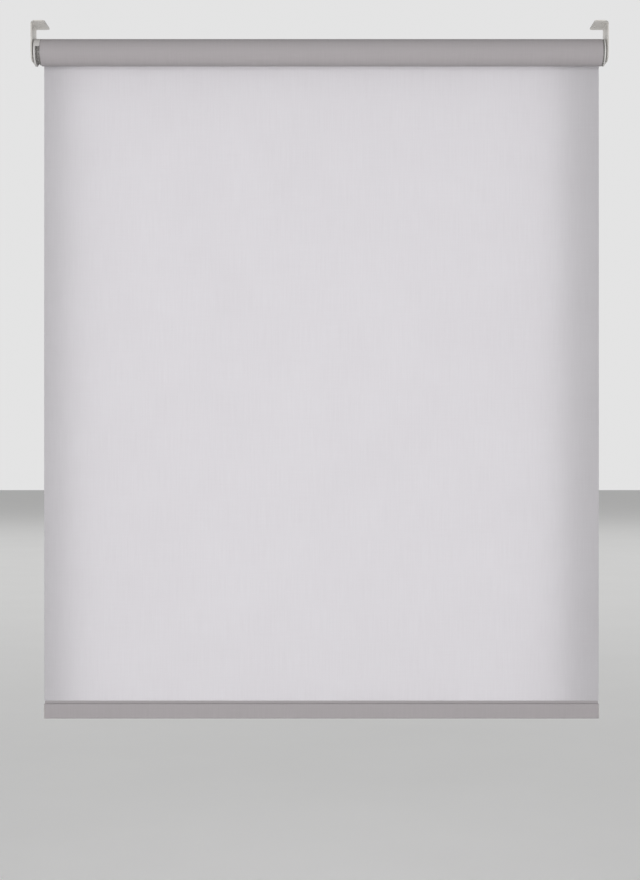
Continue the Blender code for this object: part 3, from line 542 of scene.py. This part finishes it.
# %% The line of the wound cloth
TURNS, CLIMB = 3, 1 / 12
PLY_GAP, THINNEST = 0.012 * MM, 0.004 * MM
t = np.linspace(0, TURNS - 1e-6, 433)
climbing = np.clip((t % 1 - 1 + CLIMB) / CLIMB, 0, 1)
climb = climbing * climbing * (3 - 2 * climbing)
layer = np.floor(t) + climb
thinned = np.maximum(CLOTH * (1 - climb) - PLY_GAP, THINNEST)
thickness = np.where(t < TURNS - CLIMB, CLOTH - PLY_GAP, thinned)
first = tube_radius + CLOTH / 2
last = roll_radius - PLY_GAP / 2 - thickness / 2
middle_radius = np.where(t < TURNS - CLIMB, first + layer * CLOTH, last)
angle = -math.pi / 2 - TURN * t
steps_along = np.diff(TURN * t) * (middle_radius[1:] + middle_radius[:-1]) / 2
length = np.concatenate([[0], np.cumsum(steps_along)])
outer, inner = middle_radius + thickness / 2, middle_radius - thickness / 2
print("wound length", round(length[-1], 4), "outer radius", round(outer.max() / MM, 3), "mm")

# %% The cloth on the roll
outside = np.stack([outer * np.cos(angle), outer * np.sin(angle)], -1)
inside = np.stack([inner * np.cos(angle), inner * np.sin(angle)], -1)
line = np.concatenate([outside, inside[::-1]])
along = np.concatenate([length, length[::-1]])
table = along_x(line, np.linspace(roll_low.x, roll_high.x, 9), 0.0, axis_z)
uv = np.stack([table[..., 0], np.repeat(along[None], len(table), 0)], -1)
wound_cloth = made_of("wound_cloth", [thick_sheet(table)], painted_shade_cloth, uv=uv)
stands_for(wound_cloth, "fabric_roll", "roller")

# %% [markdown]
# ## The hem
#
# The bottom of the cloth is folded forward round a flat bar and welded to itself in a band
# 4.6 mm high, which makes the bar's pocket. The fold's line is drawn once, with a rounded
# corner wherever the cloth turns, and given its thickness on both sides.

# %% The line of the hem
pocket_low, pocket_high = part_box("hem_pocket")
bar_low, bar_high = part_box("hem_bar")
bar_y, bar_z = (bar_low.y + bar_high.y) / 2, (bar_low.z + bar_high.z) / 2
BAR_GAP, SEAM_BAND = 0.3 * MM, 4.6 * MM
round_bar = (bar_high.y - bar_low.y) / 2 + BAR_GAP + CLOTH / 2
half_bar = (bar_high.z - bar_low.z) / 2 + BAR_GAP + CLOTH / 2
seam_y, seam_top = sheet_depth - bar_y, pocket_high.z - bar_z
seam_low = seam_top - SEAM_BAND
ply = CLOTH / 2 + 0.01 * MM
fold = rounded(
    [
        (seam_y + ply, seam_top),
        (seam_y + ply, seam_low - 1.0 * MM),
        (round_bar, seam_low - 3.2 * MM),
        (round_bar, -half_bar),
        (-round_bar, -half_bar),
        (-round_bar, half_bar),
        (seam_y - ply, seam_low),
        (seam_y - ply, seam_top),
    ],
    np.array([1, 1, 2, 2.95, 2.95, 1.2, 0.45, 1]) * MM,
    steps=10,
    loop=False,
)
steps_along = np.linalg.norm(np.diff(fold, axis=0), axis=1)
fold = fold[np.concatenate([[True], steps_along > 1e-6])]
length = np.concatenate([[0], np.cumsum(np.linalg.norm(np.diff(fold, axis=0), axis=1))])
print("hem cut from", round(length[-1] / MM, 1), "mm of cloth")

# %% The hem's cloth
tangent = np.gradient(fold, length, axis=0)
tangent /= np.linalg.norm(tangent, axis=1, keepdims=True)
side = np.stack([tangent[:, 1], -tangent[:, 0]], -1)
line = np.concatenate([fold + side * CLOTH / 2, (fold - side * CLOTH / 2)[::-1]])
table = along_x(line, np.linspace(pocket_low.x, pocket_high.x, 33), bar_y, bar_z)
along = np.concatenate([length, length[::-1]])
uv = np.stack([table[..., 0], np.repeat(along[None], len(table), 0)], -1)
hem_cloth = made_of("hem_cloth", [thick_sheet(table)], painted_shade_cloth, uv=uv)
stands_for(hem_cloth, "hem_pocket", "hem")

# %% [markdown]
# Each end of the bar has a push-in cap whose flange covers the cut ends of bar and cloth. Its
# outer rim is rounded over, as the edge of a moulding is.

# %% Hem caps
def hem_cap(name, outer_x, inward):
    """The flange's outline, a stadium, runs from the outer face inwards and grows over its rim."""
    low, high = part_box(name)
    width, height = high.y - low.y, high.z - low.z
    grow = np.array([-0.5, -0.25, -0.09, 0, 0]) * MM
    x = outer_x + inward * np.array([0, 0.05, 0.2, 0.5, 1.2]) * MM
    outlines = []
    for g in grow:
        half_y, half_z = width / 2 + g, height / 2 + g
        corners = [(-half_y, -half_z), (half_y, -half_z), (half_y, half_z), (-half_y, half_z)]
        outlines.append(rounded(corners, half_y * 0.999, 10) + [bar_y, bar_z])
    return stands_for(made_of(f"{name}_moulded", [carried(outlines, x)], abs_finish), name, "hem")


hem_cap("hem_cap_left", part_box("hem_cap_left")[0].x, 1)
hem_cap("hem_cap_right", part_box("hem_cap_right")[1].x, -1)

# %% [markdown]
# ## The brackets
#
# A bracket starts as a flat blank that a press punches out, holes and all, and then folds once.
# It is made here the same way round. The blank's outline, its holes and an even scatter of
# points inside are joined into triangles. Folding moves each point by its distance s from
# the foot's inner edge: along the foot, then round the fold, then down the side plate. Solidify
# gives the sheet its 2 mm, and Bevel takes off the sharp edge that tumbling would.

# %% The blank
STEEL, FOOT, FOLD = 2 * MM, 22 * MM, 2.5 * MM
FOLD_END = FOOT + FOLD * math.pi / 2
FOOT_FRONT, PLATE_FRONT, BACK = -38 * MM, -27 * MM, 19 * MM


def divided(outline, step):
    """The outline with a point at every step along it, as well as at its own corners."""
    ring = np.concatenate([outline, outline[:1]])
    run = np.concatenate([[0], np.cumsum(np.linalg.norm(np.diff(ring, axis=0), axis=1))])
    marks = np.arange(1, int(run[-1] / step)) * step
    marks = marks[np.abs(marks[:, None] - run[None]).min(1) > 0.1 * step]
    stops = np.unique(np.round(np.concatenate([run[:-1], marks]), 7))
    return np.stack([np.interp(stops, run, ring[:, k]) for k in (0, 1)], -1)


def blank(end, holes, opening):
    """The flat blank as (s, y) points and triangles. holes are (s, y, radius), opening is an outline."""
    corners = [(0, FOOT_FRONT), (18 * MM, FOOT_FRONT), (25.9 * MM, PLATE_FRONT)]
    corners += [(end, PLATE_FRONT), (end, BACK), (0, BACK)]
    rims = [divided(rounded(corners, np.array([6, 1, 1.5, 14, 14, 6]) * MM, 12), 0.5 * MM)]
    rims += [circle((s, y), radius, 32) for s, y, radius in holes] + [opening]
    plate_lines = np.arange(FOLD_END + 3 * MM, end, 3 * MM)
    s_lines = np.concatenate([np.arange(3, 22, 3) * MM, np.linspace(FOOT, FOLD_END, 9), plate_lines])
    s, y = (a.ravel() for a in np.meshgrid(s_lines, np.arange(-36, 19, 3) * MM, indexing="ij"))
    edge_points = np.concatenate(rims)
    inside = np.stack([s, y], -1)
    inside = inside[np.linalg.norm(inside[:, None] - edge_points[None], axis=2).min(1) > 0.9 * MM]
    starts = np.cumsum([0] + [len(rim) for rim in rims])
    loops = [np.arange(a, b) for a, b in zip(starts, starts[1:])]
    edges = np.concatenate([np.stack([loop, np.roll(loop, -1)], -1) for loop in loops])
    given = [Vector(p) for p in np.concatenate([edge_points, inside])]
    points, _, faces, *_ = delaunay_2d_cdt(given, edges.tolist(), [], 0, 1e-7)
    points, faces = np.array([tuple(p) for p in points]), np.array(faces)
    middles = points[faces].mean(1)
    kept = within(middles, rims[0])
    for rim in rims[1:]:
        kept &= ~within(middles, rim)
    return points, faces[kept], edge_points


def within(points, outline):
    """True where a line from the point towards +y crosses the outline an odd number of times."""
    a, b = outline[None], np.roll(outline, -1, 0)[None]
    s, y = points[:, None, 0], points[:, None, 1]
    spans = (a[..., 0] > s) != (b[..., 0] > s)
    step = np.where(b[..., 0] == a[..., 0], 1, b[..., 0] - a[..., 0])
    crossing = a[..., 1] + (b[..., 1] - a[..., 1]) * (s - a[..., 0]) / step
    return (spans & (y < crossing)).sum(1) % 2 == 1


# %% Folding it
def folded(flat, outer_x, side):
    """Where each blank point goes, on the middle of the sheet.

    Past the foot it follows the fold's radius by the angle (s - foot) / radius, and past the fold
    it goes straight down.
    """
    s, y = flat[:, 0], flat[:, 1]
    turn = np.clip((s - FOOT) / FOLD, 0, math.pi / 2)
    out = np.where(s < FOOT, s, FOOT + FOLD * np.sin(turn))
    down = -STEEL / 2 - FOLD * (1 - np.cos(turn)) - np.maximum(s - FOLD_END, 0)
    drop = np.where(s < FOOT, -STEEL / 2, down)
    return np.stack([outer_x - side * (FOOT + FOLD + STEEL / 2 - out), y, drop], -1)


def bracket(name, side, holes, opening):
    low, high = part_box(name)
    end = FOLD_END - STEEL / 2 - FOLD - low.z
    flat, faces, edge_points = blank(end, holes, opening)
    points = folded(flat, high.x if side > 0 else low.x, side)
    made = made_of(f"{name}_pressed", [(points, faces.tolist())], steel_finish)
    distance = np.linalg.norm(flat[:, None] - edge_points[None], axis=2).min(1)
    if len(distance) == len(made.data.vertices):
        edge_distance = made.data.attributes.new("edge_distance", "FLOAT", "POINT")
        edge_distance.data.foreach_set("value", distance.astype(np.float32))
    made.modifiers.new("sheet", "SOLIDIFY").thickness = STEEL
    made.modifiers["sheet"].offset = 0
    tumbled = made.modifiers.new("tumbled_edges", "BEVEL")
    tumbled.width, tumbled.segments = 0.3 * MM, 2
    tumbled.angle_limit = math.radians(40)
    tumbled.harden_normals = True
    return stands_for(made, name, "brackets")


SCREW_HOLE, SIDE_HOLE, PIN_BORE = 2.5 * MM, 2 * MM, 4.3 * MM  # radii
NEAR_S, FAR_S, FRONT_Y, REAR_Y = 7.5 * MM, 14.5 * MM, -25 * MM, 3 * MM
HALF_HIGH, HALF_DEEP = 7.3 * MM, 5.3 * MM  # of the opening for the spigot
axis_s = FOLD_END - STEEL / 2 - FOLD - axis_z
side_hole = (FOLD_END + 5 * MM, -19 * MM, SIDE_HOLE)
low_s, high_s = axis_s - HALF_HIGH, axis_s + HALF_HIGH
opening_corners = [(low_s, -HALF_DEEP), (high_s, -HALF_DEEP), (high_s, HALF_DEEP), (low_s, HALF_DEEP)]
control_holes = [(NEAR_S, FRONT_Y, SCREW_HOLE), (FAR_S, REAR_Y, SCREW_HOLE), side_hole]
idle_holes = [(FAR_S, FRONT_Y, SCREW_HOLE), (NEAR_S, REAR_Y, SCREW_HOLE), side_hole]
bracket("control_bracket", -1, control_holes, rounded(opening_corners, 0.6 * MM, 4))
bracket("idle_bracket", 1, idle_holes, circle((axis_s, 0), PIN_BORE, 40))

# %% [markdown]
# ## The control end
#
# A moulded disc hangs on the left bracket by its rectangular spigot. Over its top a hood, two
# fifths of a ring, keeps the chain on the wheel. Disc and hood are swung round the axis from
# their sections, with the small radius on every rim that lets a moulding leave its mould.

# %% Disc, hood and spigot
housing_low, housing_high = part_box("control_housing")
disc_radius = (housing_high.z - housing_low.z) / 2
HUB_RADIUS, HUB = 16.5 * MM, 1.0 * MM
HUB_GAP, DISC, HOOD_ROOT = 0.3 * MM, 3.4 * MM, 1.7 * MM
HOOD_START, HOOD_SWEEP = math.radians(15.5), math.radians(149)
hub_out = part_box("control_bracket")[0].x + STEEL + HUB_GAP
disc_out = hub_out + HUB
disc_in = disc_out + DISC
disc_line = [(hub_out, 0), (hub_out, HUB_RADIUS), (disc_out, HUB_RADIUS)]
disc_line += [(disc_out, disc_radius), (disc_in, disc_radius), (disc_in, 0)]
disc_rims = np.array([0, 0.2, 0.2, 0.7, 0.7, 0]) * MM
hood_root, hood_tip = disc_out + HOOD_ROOT, housing_high.x
hood_out, hood_bore = disc_radius - 0.5 * MM, disc_radius - 1.5 * MM
hood_corners = [(hood_root, hood_bore), (hood_tip, hood_bore), (hood_tip, hood_out), (hood_root, hood_out)]
hood_line = rounded(hood_corners, 0.35 * MM, 4)
corners = np.array([(-5, -7), (5, -7), (5, 7), (-5, 7)]) * MM
grown = [corners + np.sign(corners) * g * MM for g in (-0.4, -0.1, 0, 0)]
spigot = [rounded(outline, 0.8 * MM, 4) + [0, axis_z] for outline in grown]
control_housing = made_of(
    "control_housing_moulded",
    [
        turned(rounded(disc_line, disc_rims, 6, loop=False), 128),
        turned(hood_line, 72, HOOD_START, HOOD_SWEEP),
        carried(spigot, housing_low.x + np.array([0, 0.15, 0.5, 4]) * MM),
    ],
    abs_finish,
)
stands_for(control_housing, "control_housing", "brackets")

# %% [markdown]
# The chain wheel has a V groove, and 20 pockets in it that the chain's balls drop into. Its skin
# is a height over two numbers, the place across the rim and the angle round it: the groove's
# height, or the floor of the nearest pocket where that is lower.

# %% The chain wheel
wheel_low, wheel_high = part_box("chain_wheel")
WHEEL, POCKETS, PITCH_RADIUS, BALL = 5.6 * MM, 20, 0.12 / TURN, 2.4 * MM
GROOVE_HALF, GROOVE_SIDE, GROOVE_DEPTH = 1.7 * MM, 0.9 * MM, 3.2 * MM
RIM_EDGE, WHEEL_BORE = 0.12 * MM, 9.4 * MM
wheel_out = disc_in + 0.5 * MM
wheel_radius = PITCH_RADIUS + 2.1 * MM
print("wheel", round(WHEEL / MM, 2), "mm wide, in the frame", round((wheel_high.x - wheel_low.x) / MM, 2))


def wheel_height(x, angle):
    """The groove falls from the rim to its floor in straight lines.

    A pocket's floor under a ball is R cos(a) - sqrt(ball^2 - x^2 - (R sin(a))^2), a being the
    angle from the ball.
    """
    groove = wheel_radius - np.clip((GROOVE_HALF - np.abs(x)) / GROOVE_SIDE, 0, 1) * GROOVE_DEPTH
    a = (angle * POCKETS / TURN + 0.5) % 1 * TURN / POCKETS - TURN / POCKETS / 2
    under = BALL**2 - x**2 - (PITCH_RADIUS * np.sin(a)) ** 2
    floor = PITCH_RADIUS * np.cos(a) - np.sqrt(np.maximum(under, 0))
    return np.where(under > 0, np.minimum(groove, floor), groove)


rim = [WHEEL / 2 - RIM_EDGE, WHEEL / 2]
across = np.concatenate([[-rim[1], -rim[0]], np.linspace(-2.5, 2.5, 41) * MM, rim])
angle = np.arange(POCKETS * 18) * TURN / (POCKETS * 18)
a, x = np.meshgrid(angle, across, indexing="ij")
height = wheel_height(x, a)
height[:, [0, -1]] -= RIM_EDGE
height = np.concatenate([height, np.full((len(angle), 2), WHEEL_BORE)], 1)
x = np.concatenate([x, np.broadcast_to([WHEEL / 2, -WHEEL / 2], (len(angle), 2))], 1)
y, z = height * np.cos(angle)[:, None], height * np.sin(angle)[:, None] + axis_z
table = np.stack([x + wheel_out + WHEEL / 2, y, z], -1)
faces = skin(*table.shape[:2], ring=True, loop=True).tolist()
chain_wheel = made_of("chain_wheel_moulded", [(table, faces)], acetal_with_painted_shade, sharp=50)
stands_for(chain_wheel, "chain_wheel", "chain_wheel")

# %% [markdown]
# ## The idle end
#
# On the right bracket sits a plain moulded disc with a bore for the roller's sprung pin.

# %% Idle disc
socket_low, socket_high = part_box("idle_socket")
socket_radius = (socket_high.z - socket_low.z) / 2
section = [
    (socket_low.x, PIN_BORE),
    (socket_low.x, socket_radius),
    (socket_high.x - HUB, socket_radius),
    (socket_high.x - HUB, HUB_RADIUS),
    (socket_high.x, HUB_RADIUS),
    (socket_high.x, PIN_BORE),
]
section = rounded(section, np.array([0.3, 0.7, 0.7, 0.2, 0.2, 0.3]) * MM, 6)
idle_socket = made_of("idle_socket_moulded", [turned(section, 128)], abs_finish)
stands_for(idle_socket, "idle_socket", "brackets")

# %% [markdown]
# Inside the plug a compression spring pushes the pin out into its bracket. It is a round wire
# along a helix.

# %% The pin's spring
def helix(turns, low_x, high_x, radius, wire):
    """A round wire along a helix: x = low + rise * angle, y = radius cos(angle), z = radius sin(angle).

    Round that line the skin is half the wire's thickness along cos(b) outward + sin(b) sideways,
    b running once round.
    """
    angle = np.linspace(0, TURN * turns, turns * 28 + 1)
    rise = (high_x - low_x) / (TURN * turns)
    middle = np.stack([low_x + rise * angle, radius * np.cos(angle), radius * np.sin(angle) + axis_z], -1)
    outward = np.stack([0 * angle, np.cos(angle), np.sin(angle)], -1)
    ahead = np.stack([0 * angle + rise, -radius * np.sin(angle), radius * np.cos(angle)], -1)
    sideways = np.cross(ahead / np.hypot(rise, radius), outward)
    b = (np.arange(10) * TURN / 10)[None, :, None]
    table = middle[:, None] + wire / 2 * (np.cos(b) * outward[:, None] + np.sin(b) * sideways[:, None])
    rows, columns = table.shape[:2]
    ends = [list(range(columns)), list(range((rows - 1) * columns, rows * columns))]
    return table, skin(rows, columns, loop=True).tolist() + ends


WIRE, COILS = 0.8 * MM, 7
spring_low, spring_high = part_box("idle_spring")
spring_radius = (spring_high.z - spring_low.z - WIRE) / 2
wire = helix(COILS, spring_low.x + WIRE / 2, spring_high.x - WIRE / 2, spring_radius, WIRE)
idle_spring = made_of("idle_spring_wound", [wire], spring_finish)
stands_for(idle_spring, "idle_spring", "roller")
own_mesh(idle_spring)

# %% [markdown]
# ## Floor, light and camera
#
# The blind hangs clear of a plain pale floor. A broad soft light in front stands for the room,
# and a low one under it fills the underside of the roll. A third, far behind, lights the floor
# there. A fourth, behind the cloth and a little narrower than it, stands for the window, and
# gives the cloth its glow, softer towards the edges. The camera sees the sky brighter than it
# shines on the blind.

# %% Floor
floor_finish, tree, out = finish_named("pale_matt_floor")
clouds = add(tree, "TexNoise", {"Vector": add(tree, "TexCoord").outputs["Object"], "Scale": 3.0})
pale = add(tree, "Mix", {0: clouds.outputs["Fac"], 6: linear("#F1F1F0"), 7: linear("#F5F5F4")}, data_type="RGBA")
surface = add(tree, "BsdfPrincipled", {"Base Color": pale.outputs[2], "Roughness": 0.9})
tree.links.new(surface.outputs[0], out.inputs["Surface"])
FLOOR_Z, FLOOR = -1.6, 30
floor_corners = [(x * FLOOR, y * FLOOR, FLOOR_Z) for x, y in ((-1, -1), (1, -1), (1, 1), (-1, 1))]
floor_mesh = bpy.data.meshes.new("floor")
floor_mesh.from_pydata(floor_corners, [], [(0, 1, 2, 3)])
floor_mesh.materials.append(floor_finish)
floor = bpy.data.objects.new("floor", floor_mesh)
bpy.context.scene.collection.objects.link(floor)


# %% Light
def area_light(name, place, towards, width, height, power, spread=180):
    """A rectangular light, in watts, that the camera doesn't see. spread is its beam, in degrees."""
    lamp = bpy.data.lights.new(name, "AREA")
    lamp.shape, lamp.size, lamp.size_y, lamp.energy = "RECTANGLE", width, height, power
    lamp.spread = math.radians(spread)
    made = bpy.data.objects.new(name, lamp)
    made.location = place
    made.rotation_euler = (Vector(towards) - Vector(place)).to_track_quat("-Z", "Y").to_euler()
    made.visible_camera = False
    bpy.context.scene.collection.objects.link(made)


world = bpy.data.worlds.new("soft_studio")
world.use_nodes = True
tree = world.node_tree
seen = add(tree, "LightPath").outputs["Is Camera Ray"]
strength = add(tree, "MapRange", {"Value": seen, "To Min": 0.47, "To Max": 0.84})
background = tree.nodes["Background"]
background.inputs["Color"].default_value = linear("#F6F6F6")
tree.links.new(strength.outputs[0], background.inputs["Strength"])
bpy.context.scene.world = world
area_light("room", (-0.5, -4.4, -0.45), (0, 0, -0.45), 4.5, 1.8, 24, spread=80)
area_light("low_fill", (0, -2.4, -1.2), (0, 0, 0.1), 2.4, 0.4, 9, spread=120)
area_light("backdrop", (0, 9, 2.5), (0, 9, -1.6), 20, 12, 240)
area_light("window", (-0.009, 0.064, -0.638), (-0.009, -1, -0.638), 0.866, 1.18, 4.6)
bpy.context.scene.view_settings.view_transform = "Standard"

# %% [markdown]
# The camera stands level and straight in front, three fifths of the way down, with a long lens.

# %% Camera
camera = bpy.data.objects.new("camera", bpy.data.cameras.new("camera"))
camera.data.sensor_fit = "VERTICAL"
camera.data.sensor_height = 36
camera.data.lens = 64.51
camera.data.shift_y = 0.0091
camera.location = (0.0006, -2.7125, -0.726)
camera.rotation_euler = (math.pi / 2, 0, 0)
bpy.context.scene.collection.objects.link(camera)
bpy.context.scene.camera = camera
